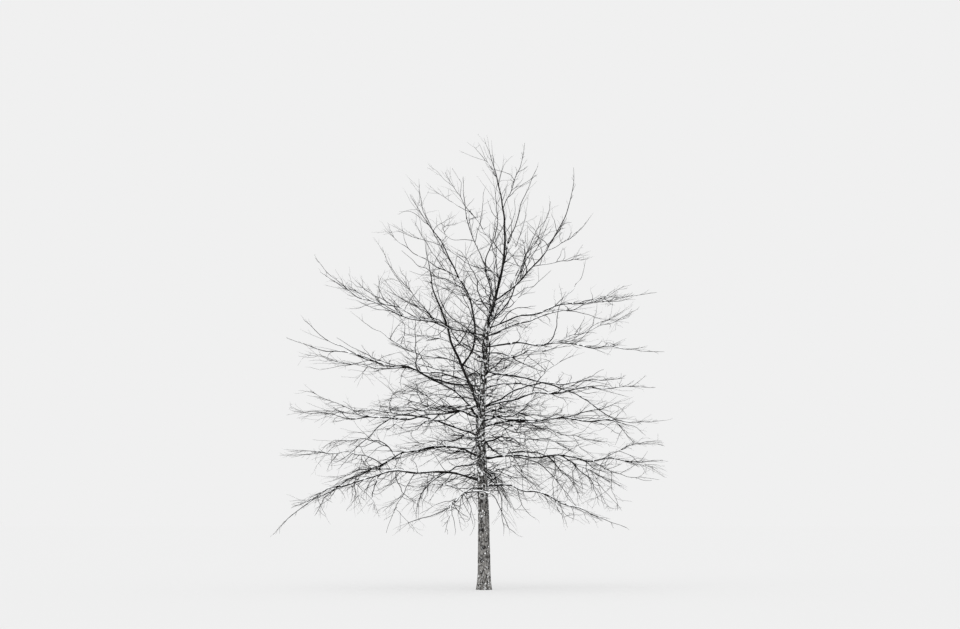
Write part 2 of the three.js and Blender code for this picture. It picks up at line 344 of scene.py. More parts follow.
def smoothLine(middles, radii, step):
    # a curve through the middles (each span a cubic whose end slopes come from the neighbours on both
    # sides), sampled at even steps of length, with radii in proportion
    ends = np.concatenate([[2 * middles[0] - middles[1]], middles, [2 * middles[-1] - middles[-2]]])
    part = np.linspace(0, 1, 24, endpoint=False)[:, None]
    spans = []
    for a, b, c, d in zip(ends, ends[1:], ends[2:], ends[3:]):
        ab, cb, dc = np.linalg.norm(b - a), np.linalg.norm(c - b), np.linalg.norm(d - c)
        out = (c - a) * cb / (ab + cb)
        back = (d - b) * cb / (cb + dc)
        spans.append(b * (2 * part ** 3 - 3 * part ** 2 + 1) + c * (3 * part ** 2 - 2 * part ** 3)
                     + out * (part ** 3 - 2 * part ** 2 + part) + back * (part ** 3 - part ** 2))
    fine = np.concatenate(spans + [middles[-1:]])
    along = np.concatenate([[0], np.cumsum(np.linalg.norm(np.diff(fine, axis=0), axis=1))])
    stations = np.linspace(0, along[-1], max(6, int(round(along[-1] / step)) + 1))
    line = np.stack([np.interp(stations, along, fine[:, k]) for k in range(3)], 1)
    return line, np.interp(stations, along[::24], radii)


boughStep = 0.02        # metres from station to station
footSunk = 1.6          # how far a line starts inside its parent, in radii of the foot
boughNames = sorted(name for name in nodes if name != "trunk")
boughLines = {}
for name in boughNames:
    middles, radii = limbLine(nodes[name])
    inward = (middles[0] - middles[1]) / np.linalg.norm(middles[0] - middles[1])
    middles = np.concatenate([[middles[0] + inward * radii[0] * footSunk], middles])
    radii = np.concatenate([[radii[0]], radii])
    boughLines[name] = smoothLine(middles, radii, boughStep)
boughLength = sum(np.linalg.norm(np.diff(line, axis=0), axis=1).sum() for line, _ in boughLines.values())
print("limbs read:", len(boughLines), "with", round(boughLength, 1), "m of line")

# ---- surfaces


def latticeNoise(points, seed):
    # smooth random heights from -1 to 1: a random number at each whole-numbered corner of space,
    # blended between the eight corners round a point
    cell = np.floor(points).astype(np.int64)
    part = points - cell
    ease = part * part * (3 - 2 * part)
    total = np.zeros(points.shape[:-1])
    for corner in range(8):
        step = np.array([corner & 1, corner >> 1 & 1, corner >> 2 & 1])
        key = (cell + step) * np.array([73856093, 19349663, 83492791])
        key = (key[..., 0] ^ key[..., 1] ^ key[..., 2]) + seed * 7919
        key = (key ^ (key >> 13)) * 1274126177 & 0x7FFFFFFF
        value = (key ^ (key >> 16)) % 100003 / 50001.5 - 1
        total += value * np.where(step, ease, 1 - ease).prod(-1)
    return total


def newPiece(name, corners, loops, sizes, materials, faceMaterial=None):
    # a mesh object from whole arrays: corners, the corner numbers round each face, and face sizes
    mesh = bpy.data.meshes.new(name)
    mesh.vertices.add(len(corners))
    mesh.vertices.foreach_set("co", corners.astype(np.float32).ravel())
    mesh.loops.add(len(loops))
    mesh.loops.foreach_set("vertex_index", loops.astype(np.int32))
    mesh.polygons.add(len(sizes))
    mesh.polygons.foreach_set("loop_start", np.concatenate([[0], np.cumsum(sizes)[:-1]]).astype(np.int32))
    for material in materials:
        mesh.materials.append(material)
    if faceMaterial is not None:
        mesh.polygons.foreach_set("material_index", faceMaterial.astype(np.int32))
    mesh.polygons.foreach_set("use_smooth", np.ones(len(sizes), bool))
    mesh.update(calc_edges=True)
    piece = bpy.data.objects.new(name, mesh)
    bpy.context.scene.collection.objects.link(piece)
    return piece


def unit(vectors):
    return vectors / np.maximum(np.linalg.norm(vectors, axis=-1, keepdims=True), 1e-9)


def crossFrames(lines):
    # two directions square to each line at each station, carried along it without twist
    tangents = unit(np.gradient(lines, axis=1))
    across = np.cross(tangents[:, 0], up)
    across[np.linalg.norm(across, axis=1) < 0.05] = np.array([1.0, 0.0, 0.0])
    firsts = []
    for station in range(lines.shape[1]):
        tangent = tangents[:, station]
        across = unit(across - (across * tangent).sum(1, keepdims=True) * tangent)
        firsts.append(across)
    first = np.stack(firsts, 1)
    return first, np.cross(tangents, first)


def tubeFaces(count, stations, sides):
    # quads round and along each tube, and a flat face on both ends
    ring = np.arange(sides)
    after = (ring + 1) % sides
    step = np.arange(stations - 1)[:, None] * sides
    quads = np.stack([step + ring, step + after, step + sides + after, step + sides + ring], -1)
    quads = quads.reshape(-1, 4)
    base = (np.arange(count) * stations * sides)[:, None]
    caps = np.stack([ring[::-1], (stations - 1) * sides + ring])
    loops = np.concatenate([base + quads.reshape(1, -1), base + caps.reshape(1, -1)], 1)
    sizes = np.concatenate([np.full(len(quads), 4), np.full(2, sides)])
    return loops.ravel(), np.tile(sizes, count)


def addTubes(name, lines, radii, sides, materials, tones=None):
    # A round section carried along each line: corner = line + radius * (cos * first + sin * second).
    first, second = crossFrames(lines)
    angle = np.arange(sides) * 2 * math.pi / sides
    shape = first[:, :, None] * np.cos(angle)[:, None] + second[:, :, None] * np.sin(angle)[:, None]
    corners = lines[:, :, None] + shape * radii[:, :, None, None]
    count, stations = lines.shape[:2]
    loops, sizes = tubeFaces(count, stations, sides)
    faceMaterial = None if tones is None else np.repeat(tones, (stations - 1) * sides + 2)
    return newPiece(name, corners.reshape(-1, 3), loops, sizes, materials, faceMaterial)


# ---- the boughs' bark

boughShape = {
    "sides": 12, "thickSides": 20, "thick": 0.028,      # more sides where it is thicker, in metres
    "lump": 0.10, "lumpLength": 0.05,       # height against the radius, and metres from lump to lump
    "kink": 0.014, "kinkLength": 0.24,      # metres to each side, and metres from kink to kink
    "steadyFoot": 0.4, "steadyTip": 0.2,    # metres at each end over which the kinks die away
    "collar": 0.5, "collarLength": 1.1,     # swelling and length at the foot, against the radius
    "thinFrom": 0.6, "thinTo": 0.65,        # the young end narrows from this part of the length on
}


def boughSurface(index, name):
    # the bough's round section, lumpy by noise that is longer along the limb than round it, on a
    # middle line that kinks a little from bud to bud, with a swollen collar at the foot
    look = boughShape
    line, radii = boughLines[name]
    along = np.arange(len(line)) * boughStep
    where = np.stack([along / look["kinkLength"], np.full(len(line), 0.5), np.full(len(line), 3.1)], 1)
    nudge = np.stack([latticeNoise(where + 9.7 * k, index) for k in range(3)], 1)
    atFoot = np.clip(along / look["steadyFoot"], 0, 1)
    atTip = np.clip((along[-1] - along) / look["steadyTip"], 0, 1)
    line = line + nudge * np.minimum(atFoot, atTip)[:, None] * look["kink"]
    collar = 1 + look["collar"] * np.exp(-along / (look["collarLength"] * radii[0]))
    sides = look["thickSides"] if radii[0] > look["thick"] / 2 else look["sides"]
    first, second = crossFrames(line[None])
    angle = np.arange(sides) * 2 * math.pi / sides
    shape = first[0][:, None] * np.cos(angle)[:, None] + second[0][:, None] * np.sin(angle)[:, None]
    level = np.broadcast_to((along / look["lumpLength"])[:, None, None], (len(line), sides, 1))
    where = np.concatenate([shape * 1.3, level], 2)
    lump = latticeNoise(where[..., [0, 1, 3]] + 11.3, index)
    lump = lump + 0.5 * latticeNoise(where[..., [1, 2, 3]] * 2.1, index + 90)
    young = np.clip((along / along[-1] - look["thinFrom"]) / (1 - look["thinFrom"]), 0, 1)
    radii = radii * (1 - (1 - look["thinTo"]) * young)
    reach = (radii * collar)[:, None] * (1 + look["lump"] * lump)
    reach[-1] *= 0.5
    corners = line[:, None] + shape * reach[..., None]
    loops, sizes = tubeFaces(1, len(line), sides)
    piece = newPiece("bark_" + name, corners.reshape(-1, 3), loops, sizes, [smooth])
    boughLines[name] = (line, radii)
    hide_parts(name)
    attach(piece, "root")
    return 2 * len(sizes)


print("bough triangles", sum(boughSurface(index, name) for index, name in enumerate(boughNames)))

# ---- the trunk's bark

trunkShape = {
    "around": 160, "along": 560, "crowded": 1.1,        # columns, and rows that crowd towards the foot
    "radius": 0.11,          # metres, where the sizes below hold
    # metres deep, metres from cleft to cleft round the trunk and up it, and how wide a cleft opens
    "cleftDepth": 0.0055, "cleftAround": 0.028, "cleftAlong": 0.085, "cleftWidth": 0.34,
    "crumb": 0.0009, "swell": 0.006,      # metres, the finest relief and the slowest
    # the swelling round a bough's foot, its height and spread in radii of the bough, and how near the
    # trunk's middle line a foot is to count, in metres
    "collar": 0.45, "collarSpread": 1.9, "collarWithin": 0.22,
    # pruned branch scars: height, compass degrees, radius of the ring
    "scars": [(1.88, 264, 0.050), (2.07, 285, 0.034), (1.62, 205, 0.020), (1.30, 318, 0.014),
              (1.05, 120, 0.020), (1.74, 40, 0.026), (0.92, 250, 0.012)],
    # a scar's ring and dish: width and height in radii, and how far each takes the relief past 1 or 0
    "ring": (0.40, 0.26, 1.7), "dish": (0.62, 0.2, 0.8),
}


def trunkRings(node):
    # level rings of the solid: each one's height, middle, and radius by compass angle
    corners, _ = weldedMesh(node)
    rings = []
    for height in np.unique(np.round(corners[:, 2], 4)):
        ring = corners[np.abs(corners[:, 2] - height) < 2e-4]
        middle = (ring[:, :2].max(0) + ring[:, :2].min(0)) / 2
        away = ring[:, :2] - middle
        reach = np.hypot(*away.T)
        rim = reach > reach.max() * 0.5
        turn = np.arctan2(away[rim, 1], away[rim, 0])
        order = np.argsort(turn)
        rings.append((height, middle, turn[order], reach[rim][order]))
    return rings


def trunkSurface():
    # Radius by compass angle and height, from the solid's rings, less a cleft wherever a noise that is
    # stretched upright passes through zero, plus a slow swell, bough collars and healed scars.
    rings = trunkRings(nodes["trunk"])
    look = trunkShape
    around = np.arange(look["around"]) * 2 * math.pi / look["around"] - math.pi
    heights = np.array([r[0] for r in rings])
    middles = np.array([r[1] for r in rings])
    reaches = np.array([np.interp(around, r[2], r[3], period=2 * math.pi) for r in rings])
    level = np.linspace(0, 1, look["along"]) ** look["crowded"] * heights[-1]
    middle = np.stack([np.interp(level, heights, middles[:, k]) for k in range(2)], 1)
    reach = np.stack([np.interp(level, heights, reaches[:, k]) for k in range(look["around"])], 1)
    wall = np.stack([np.cos(around) + 0 * level[:, None], np.sin(around) + 0 * level[:, None],
                     level[:, None] + 0 * around], -1)
    aroundScale = look["radius"] / look["cleftAround"]
    where = wall * np.array([aroundScale, aroundScale, 1 / look["cleftAlong"]])
    drift = np.stack([latticeNoise(where * 0.9 + 60 * k, 13 + k) for k in range(3)], -1) * 0.5
    broad = np.abs(latticeNoise(where + drift + 40, 3)) / look["cleftWidth"]
    fine = np.abs(latticeNoise((where + drift) * 2.1, 5)) / look["cleftWidth"]
    relief = np.clip(broad, 0, 1) * (0.55 + 0.45 * np.clip(fine, 0, 1))
    crumb = latticeNoise(where * 5.3, 8)
    swell = latticeNoise(wall * np.array([1.2, 1.2, 3.0]) + 7, 9)
    girth = (reach.mean(1, keepdims=True) / look["radius"]) ** 0.7
    push = (look["cleftDepth"] * (relief - 0.6) + look["crumb"] * crumb) * girth
    push = push + look["swell"] * swell * girth
    points = np.concatenate([middle[:, None] + wall[..., :2] * reach[..., None], wall[..., 2:]], -1)
    # the bark swells round the foot of each bough that leaves the trunk
    for line, radii in boughLines.values():
        foot, radius = line[3], radii[0]
        axis = [np.interp(foot[2], heights, middles[:, k]) for k in range(2)]
        if foot[2] < heights[-1] and np.hypot(*(foot[:2] - axis)) < look["collarWithin"]:
            gap = np.linalg.norm((points - foot) * np.array([1, 1, 0.75]), axis=2)
            push = push + look["collar"] * radius * np.exp(-(gap / (look["collarSpread"] * radius)) ** 2)
    # scars: a raised ring of healed bark round a shallow dish, coloured dark partly as the scar's own wood
    # and partly as painted shade in the hollow
    ringWidth, ringHeight, ringTone = look["ring"]
    dishWidth, dishDepth, dishTone = look["dish"]
    for height, turn, size in look["scars"]:
        row = np.argmin(np.abs(level - height))
        column = np.argmin(np.abs(np.angle(np.exp(1j * (around - math.radians(turn))))))
        gap = np.linalg.norm((points - points[row, column]) * np.array([1, 1, 0.85]), axis=2) / size
        rim = np.exp(-((gap - 1) / ringWidth) ** 2)
        dish = np.exp(-(gap / dishWidth) ** 2)
        push = push * (1 - np.clip(rim + dish, 0, 1)) + size * (ringHeight * rim - dishDepth * dish)
        # the dish's relief below 0 colours it darker than a cleft: partly painted shade in the hollow
        relief = relief * (1 - np.clip(rim + dish, 0, 1)) + ringTone * rim - dishTone * dish
    push *= np.clip(level / 0.015, 0, 1)[:, None]
    points[..., :2] += wall[..., :2] * push[..., None]
    loops, sizes = tubeFaces(1, look["along"], look["around"])
    piece = newPiece("bark_trunk", points.reshape(-1, 3), loops, sizes, [furrowed])
    reliefLayer = piece.data.attributes.new("relief", "FLOAT", "POINT")
    reliefLayer.data.foreach_set("value", relief.ravel().astype(np.float32))
    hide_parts("trunk")
    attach(piece, "root")
    return heights, middles, reaches.mean(1), points, wall


trunkHeights, trunkMiddles, trunkReach, trunkPoints, trunkWall = trunkSurface()
print("trunk triangles", 2 * trunkShape["around"] * trunkShape["along"])

# ---- growth: limbs on the trunk and boughs, branches on those, then twigs, then shoots

# By height above the ground: the slope that young wood takes, in degrees above level, how strongly it
# turns up (or, below 0, down) over each metre, and how thickly it grows.
habit = {
    "height": [1.0, 2.0, 2.4, 2.9, 3.4, 3.9, 4.4, 4.9, 5.4, 6.2, 7.2, 8.0, 9.0],
    "slope": [-26, -14, -8, 0, 5, 9, 14, 19, 25, 38, 48, 52, 56],
    "turn": [-0.5, -0.45, -0.3, -0.1, 0.0, 0.05, 0.1, 0.15, 0.22, 0.3, 0.25, 0.22, 0.2],
    "thickness": [0.6, 0.8, 1.0, 0.85, 0.9, 0.95, 0.8, 0.7, 0.75, 0.7, 0.55, 0.65, 0.75],
}
# How far the crown reaches from its middle, by height.
crown = {
    "middle": (-0.25, 0.0),
    "height": [1.1, 1.6, 2.2, 3.0, 4.0, 5.0, 6.0, 6.8, 7.6, 8.4, 9.1],
    "reach": [2.2, 3.3, 3.7, 3.6, 3.35, 3.3, 3.0, 2.1, 1.7, 1.2, 0.3],
    # nothing hangs below this height at the stem, and the limit falls away by this slope outwards
    "clearStem": 1.95, "clearSlope": 0.9,
    # open sky between the boughs, seen from the front: across, up, half width, half height
    "gaps": [(1.9, 6.35, 0.8, 0.32), (2.3, 4.5, 0.9, 0.2), (-2.7, 5.25, 0.7, 0.3),
             (-1.5, 6.8, 0.3, 0.3), (0.95, 5.9, 0.4, 0.24), (3.3, 2.02, 0.45, 0.18)],
}

growth = {
    # spacing: metres between children. start, end: parts of the parent. angle: degrees off the parent
    # at its foot and at its tip. spread: degrees round it. length: metres at the foot, times fade at
    # the tip, with vary as its scatter. foot, swell, tip: radius = foot + swell * length, to tip.
    # pull: how strongly the height's slope holds. wander, zigzag: kinks at each joint. deeper, corner:
    # how much longer it grows to the front and back, and slantwise, where boughs are fewer. slope, turn:
    # a kind's own, in place of its height's. footBelow, footAcross: where alone it may start.
    "limb": {"spacing": 0.068, "start": 0.0, "end": 1.0, "angle": (72, 50), "spread": 180, "length": 2.1,
             "fade": 0.6, "vary": 0.3, "foot": 0.0066, "swell": 0.0032, "tip": 0.0024, "joints": 30,
             "pull": 0.85, "wander": 0.10, "zigzag": 0.085, "deeper": 0.35, "corner": 0.45},
    "inner": {"spacing": 0.062, "start": 0.0, "end": 1.0, "angle": (75, 55), "spread": 180, "length": 0.75,
              "fade": 0.9, "vary": 0.4, "foot": 0.0046, "swell": 0.0040, "tip": 0.0016, "joints": 14,
              "pull": 0.6, "wander": 0.14, "zigzag": 0.13},
    "crook": {"spacing": 0.18, "start": 0.10, "end": 0.6, "angle": (66, 50), "spread": 90, "length": 0.45,
              "fade": 0.9, "vary": 0.4, "foot": 0.0040, "swell": 0.0040, "tip": 0.0016, "joints": 10,
              "pull": 0.25, "wander": 0.16, "zigzag": 0.15},
    "sideLimb": {"spacing": 0.72, "start": 0.06, "end": 0.8, "angle": (52, 36), "spread": 36, "length": 1.35,
                 "fade": 0.5, "vary": 0.35, "foot": 0.0064, "swell": 0.0038, "tip": 0.0022, "joints": 22,
                 "pull": 0.62, "wander": 0.12, "zigzag": 0.12},
    "hanger": {"spacing": 0.36, "start": 0.06, "end": 0.66, "angle": (64, 50), "spread": 30, "length": 0.85,
               "fade": 0.7, "vary": 0.3, "foot": 0.0044, "swell": 0.0036, "tip": 0.0018, "joints": 16,
               "pull": 0.75, "wander": 0.14, "zigzag": 0.13, "slope": -58, "turn": -0.15,
               "footBelow": 2.75, "footAcross": (-3.1, 2.7)},
    "branch": {"spacing": 0.26, "start": 0.08, "end": 0.98, "angle": (54, 32), "spread": 58, "length": 0.58,
               "fade": 0.6, "vary": 0.45, "foot": 0.0037, "swell": 0.0042, "tip": 0.0015, "joints": 12,
               "pull": 0.3, "wander": 0.12, "zigzag": 0.12},
    "twig": {"spacing": 0.20, "start": 0.10, "end": 1.0, "angle": (46, 28), "spread": 60, "length": 0.25,
             "fade": 0.8, "vary": 0.45, "foot": 0.0013, "swell": 0.0018, "tip": 0.0010, "joints": 6,
             "pull": 0.25, "wander": 0.12, "zigzag": 0.12},
    "brush": {"spacing": 0.12, "start": 0.05, "end": 1.0, "angle": (30, 18), "spread": 60, "length": 0.55,
              "fade": 0.6, "vary": 0.35, "foot": 0.0021, "swell": 0.0014, "tip": 0.0011, "joints": 6,
              "pull": 0.4, "wander": 0.06, "zigzag": 0.05},
    "shoot": {"spacing": 0.21, "start": 0.15, "end": 1.0, "angle": (50, 36), "spread": 70, "length": 0.085,
              "fade": 0.9, "vary": 0.4, "foot": 0.0010, "swell": 0.001, "tip": 0.0008, "joints": 3,
              "pull": 0.2, "wander": 0.1, "zigzag": 0.08},
    "spur": {"spacing": 0.24, "start": 0.05, "end": 0.9, "angle": (76, 60), "spread": 90, "length": 0.06,
             "fade": 0.9, "vary": 0.4, "foot": 0.0022, "swell": 0.006, "tip": 0.0015, "joints": 3,
             "pull": 0.1, "wander": 0.2, "zigzag": 0.2},
}
# What every kind keeps to.
growthLimits = {
    "longest": 1.9,            # against the kind's own length
    "pastCrown": 0.25,         # metres that a tip may stand out of the crown's reach
    "drawnIn": 0.3,            # the least part of its length that a child is drawn in to
    "ofParent": 0.82,          # the thickest foot against the parent's radius there
    "taper": 0.7,              # radius from foot to tip goes with the part still to come, to this power
    "lowest": 1.0,             # metres above the ground
    "roomShare": 0.022, "room": 0.005,      # past the solid's box: a share of its size, and metres
}
goldenTurn = math.radians(137.5)
roomRound = (np.array(cadBox[1]) - np.array(cadBox[0])) * growthLimits["roomShare"] + growthLimits["room"]


def byHeight(points, column):
    return np.interp(points[..., 2], habit["height"], habit[column])


def alongPaths(paths, radii, owner, part):
    # at a part of each owner's length, between the stations on both sides: point, radius and direction
    station = part * (paths.shape[1] - 1)
    lower = np.minimum(station.astype(int), paths.shape[1] - 2)
    mix = station - lower
    point = paths[owner, lower] * (1 - mix[..., None]) + paths[owner, lower + 1] * mix[..., None]
    radius = radii[owner, lower] * (1 - mix) + radii[owner, lower + 1] * mix
    return point, radius, unit(paths[owner, lower + 1] - paths[owner, lower])


def growOn(kind, parents, parentRadii, seed):
    # Children spaced along each parent, left and right in turn, or round it where it is steep. A child
    # leaves at its angle, leans to the slope of its height, and steps along with small kinks.
    rule = growth[kind]
    rng = np.random.default_rng(seed)
    lengths = np.linalg.norm(np.diff(parents, axis=1), axis=2).sum(1)
    wanted = lengths * (rule["end"] - rule["start"]) / rule["spacing"]
    counts = np.floor(wanted + rng.uniform(0, 1, len(parents))).astype(int)
    owner = np.repeat(np.arange(len(parents)), counts)
    order = np.arange(len(owner)) - np.repeat(np.cumsum(counts) - counts, counts)
    placed = order + rng.uniform(0.05, 0.95, len(owner))
    part = rule["start"] + (rule["end"] - rule["start"]) * placed / counts[owner]
    start, girth, forward = alongPaths(parents, parentRadii, owner, part)
    scatter = np.exp(rng.normal(0, rule["vary"], len(owner)))
    length = rule["length"] * (1 - (1 - rule["fade"]) * part) * scatter
    length = np.minimum(length, growthLimits["longest"] * rule["length"])

    steep = np.clip((np.abs(forward[:, 2]) - 0.6) / 0.3, 0, 1)[:, None]
    across = unit(np.cross(forward, up * (1 - steep) + np.array([0.2, 1.0, 0.1]) * steep))
    over = np.cross(across, forward)
    swing = math.radians(rule["spread"]) * rng.normal(0, 0.6, len(owner))
    beside = np.where((order + owner) % 2 == 0, 0, math.pi) + swing
    turned = order * goldenTurn + owner + rng.normal(0, 0.35, len(owner))
    roll = np.where(steep[:, 0] > 0.5, turned, beside)[:, None]
    outward = across * np.cos(roll) + over * np.sin(roll)
    atFoot, atTip = rule["angle"]
    angle = np.radians(atFoot + (atTip - atFoot) * part + rng.normal(0, 8, len(owner)))[:, None]
    heading = forward * np.cos(angle) + outward * np.sin(angle)
    slope = np.radians(rule.get("slope", byHeight(start, "slope")) + rng.normal(0, 9, len(owner)))
    heading[:, 2] += rule["pull"] * (np.sin(slope) - heading[:, 2])
    heading = unit(heading)
    slant = 2 * np.abs(heading[:, 0] * heading[:, 1])
    length = length * (1 + rule.get("deeper", 0.0) * np.abs(heading[:, 1]) + rule.get("corner", 0.0) * slant)

    joints = rule["joints"]
    kinks = rng.normal(0, rule["wander"], (joints,) + heading.shape)
    sway = rng.uniform(0.4, 1.2, (joints, len(owner), 1)) * rule["zigzag"]
    line = [start]
    for joint in range(joints):
        step = (length / joints)[:, None]
        turn = rule.get("turn", byHeight(line[-1], "turn")[:, None])
        sideways = unit(np.cross(heading, up) + 0.05)
        flip = np.where((joint // 2 + owner) % 2 == 0, 1, -1)[:, None]
        heading = unit(heading + up * turn * step + kinks[joint] + sideways * sway[joint] * flip)
        line.append(line[-1] + heading * step)
    line = np.stack(line, 1)
    # nothing reaches out of the crown: a child that would is drawn in towards its foot
    middle = np.array(crown["middle"])
    tipReach = np.linalg.norm(line[:, -1, :2] - middle, axis=1)
    footReach = np.linalg.norm(start[:, :2] - middle, axis=1)
    limit = np.interp(line[:, -1, 2], crown["height"], crown["reach"]) + growthLimits["pastCrown"]
    shrink = (limit - footReach) / np.maximum(tipReach - footReach, 1e-6)
    shrink = np.clip(shrink, growthLimits["drawnIn"], 1)
    shrink = np.where(tipReach > limit, shrink, 1)
    line = start[:, None] + (line - start[:, None]) * shrink[:, None, None]

    foot = rule["foot"] + rule["swell"] * length * shrink
    foot = np.minimum(foot, girth * growthLimits["ofParent"])
    taper = (1 - np.linspace(0, 1, joints + 1)) ** growthLimits["taper"]
    radii = rule["tip"] + np.maximum(foot - rule["tip"], 0)[:, None] * taper
    radii[:, -1] *= 0.5
    keep = (line > np.array(cadBox[0]) - roomRound) & (line < np.array(cadBox[1]) + roomRound)
    keep = keep.all((1, 2)) & (line[..., 2] > growthLimits["lowest"]).all(1)
    keep &= rng.uniform(0, 1, len(owner)) < byHeight(start, "thickness")
    stem = np.linalg.norm(line[..., :2], axis=2)
    keep &= (line[..., 2] > crown["clearStem"] - crown["clearSlope"] * stem).all(1)
    for x, z, halfWidth, halfHeight in crown["gaps"]:
        for place in (line[:, joints // 2], line[:, -1]):
            keep &= (np.abs(place[:, 0] - x) > halfWidth) | (np.abs(place[:, 2] - z) > halfHeight)
    if "footBelow" in rule:
        left, right = rule["footAcross"]
        keep &= (start[:, 2] < rule["footBelow"]) & (start[:, 0] > left) & (start[:, 0] < right)
    return line[keep], radii[keep], owner[keep]


parentStations = 60


def resampled(line, radii):
    along = np.linspace(0, len(line) - 1, parentStations)
    whole = np.arange(len(line))
    line = np.stack([np.interp(along, whole, line[:, k]) for k in range(3)], 1)
    return line, np.interp(along, whole, radii)


def joined(sets, join=np.concatenate):
    # the lines of several sets as one array, and their radii as another
    return [join([one[part] for one in sets]) for part in range(2)]


boughPaths, boughRadii = joined([resampled(*boughLines[name]) for name in boughNames], np.stack)

trunkLevels = np.linspace(crown["clearStem"], trunkHeights[-1], parentStations)
trunkMiddle = [np.interp(trunkLevels, trunkHeights, trunkMiddles[:, k]) for k in range(2)]
trunkPath = np.stack(trunkMiddle + [trunkLevels], 1)[None]
trunkGirth = np.interp(trunkLevels, trunkHeights, trunkReach)[None]

limbs, limbRadii, _ = growOn("limb", trunkPath, trunkGirth, 11)
inner, innerRadii, _ = growOn("inner", trunkPath, trunkGirth, 14)
crooks, crookRadii, _ = growOn("crook", boughPaths, boughRadii, 15)
sideLimbs, sideRadii, _ = growOn("sideLimb", boughPaths, boughRadii, 12)
hangers, hangerRadii, _ = growOn("hanger", boughPaths, boughRadii, 13)
limbGroups = [(limbs, limbRadii), (sideLimbs, sideRadii), (boughPaths, boughRadii),
              (hangers, hangerRadii), (inner, innerRadii)]
branchSets = [growOn("branch", lines, radii, 21 + index) for index, (lines, radii) in enumerate(limbGroups)]
branches, branchRadii = joined(branchSets)
# Twigs grow on the branches, along the crooked inner wood, and on the outer ends of limbs and boughs,
# where they run on outwards like the hairs of a brush. Each branch's twigs are one spray.
outerHalf = [(lines[:, lines.shape[1] // 2:], radii[:, lines.shape[1] // 2:]) for lines, radii in limbGroups]
twigPlans = [("twig", branches, branchRadii), ("twig", crooks, crookRadii)]
twigPlans += [("brush", *group) for group in outerHalf[:3]] + [("twig", *group) for group in outerHalf[3:]]
twigSets = [growOn(kind, lines, radii, 31 + index) for index, (kind, lines, radii) in enumerate(twigPlans)]
twigs, twigRadii = joined(twigSets)
firstSpray = np.cumsum([0] + [len(plan[1]) for plan in twigPlans])
sprays = np.concatenate([owner + first for (_, _, owner), first in zip(twigSets, firstSpray)])
shoots, shootRadii, shootOwner = growOn("shoot", twigs, twigRadii, 41)
spurGroups = limbGroups + [(branches, branchRadii), (crooks, crookRadii)]
spurSets = [growOn("spur", lines, radii, 51 + index) for index, (lines, radii) in enumerate(spurGroups)]
spurs, spurRadii = joined(spurSets)

deal = np.random.default_rng(61)
sprayTones = deal.choice(len(twigTones), sprays.max() + 1, p=toneShares)
twigTone = sprayTones[sprays]
shootTone = twigTone[shootOwner]
branchTone = deal.integers(0, len(branchTones), len(branches))
spurTone = deal.choice(len(twigTones), len(spurs), p=toneShares)


mostTriangles = 190000      # in one joined piece


def addKind(name, lines, radii, sides, materials, tone):
    # joined into as few pieces as the limit of triangles allows
    perTube = (lines.shape[1] - 1) * sides * 2 + 2 * (sides - 2)
    pieces = math.ceil(len(lines) * perTube / mostTriangles)
    for index, share in enumerate(np.array_split(np.arange(len(lines)), pieces)):
        piece = addTubes(f"{name}_{index + 1}", lines[share], radii[share], sides, materials, tone[share])
        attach(piece, "root")
    metres = np.linalg.norm(np.diff(lines, axis=1), axis=2)
    area = (metres * (radii[:, 1:] + radii[:, :-1])).sum()
    print(name, len(lines), "metres", round(metres.sum()), "area", round(area, 2),
          "triangles", len(lines) * perTube, "in", pieces)


for name, lines, radii, sides in [("limbs", limbs, limbRadii, 8), ("side_limbs", sideLimbs, sideRadii, 8),
                                  ("inner_limbs", inner, innerRadii, 6), ("crooks", crooks, crookRadii, 6),
                                  ("hangers", hangers, hangerRadii, 6)]:
    addKind(name, lines, radii, sides, branchTones, np.zeros(len(lines), int))
addKind("branches", branches, branchRadii, 6, branchTones, branchTone)
addKind("twigs", twigs, twigRadii, 4, twigTones, twigTone)
addKind("shoots", shoots, shootRadii, 4, twigTones, shootTone)
addKind("spurs", spurs, spurRadii, 4, twigTones, spurTone)

# ---- snow

snowRule = {
    # patches along the top, and clumps wrapped round a twiggy spot: shortest and longest in metres, how
    # far the section is raised and how wide it is against the radius, and the steepest rise that holds it
    "patch": {"shortest": 0.05, "longest": 0.38, "raise": 0.72, "width": 0.95, "steepest": 0.82},
    "clump": {"shortest": 0.03, "longest": 0.09, "raise": 0.35, "width": 1.3, "steepest": 0.5},
    "thinnest": 0.004,       # none stays on wood of a smaller radius, and little
    "thick": 0.009,          # below this one
    "high": 0.003, "wide": 0.0015,          # metres added on thick wood
    "edge": 0.0004,          # metres at the ends, so that they don't close to a point
}


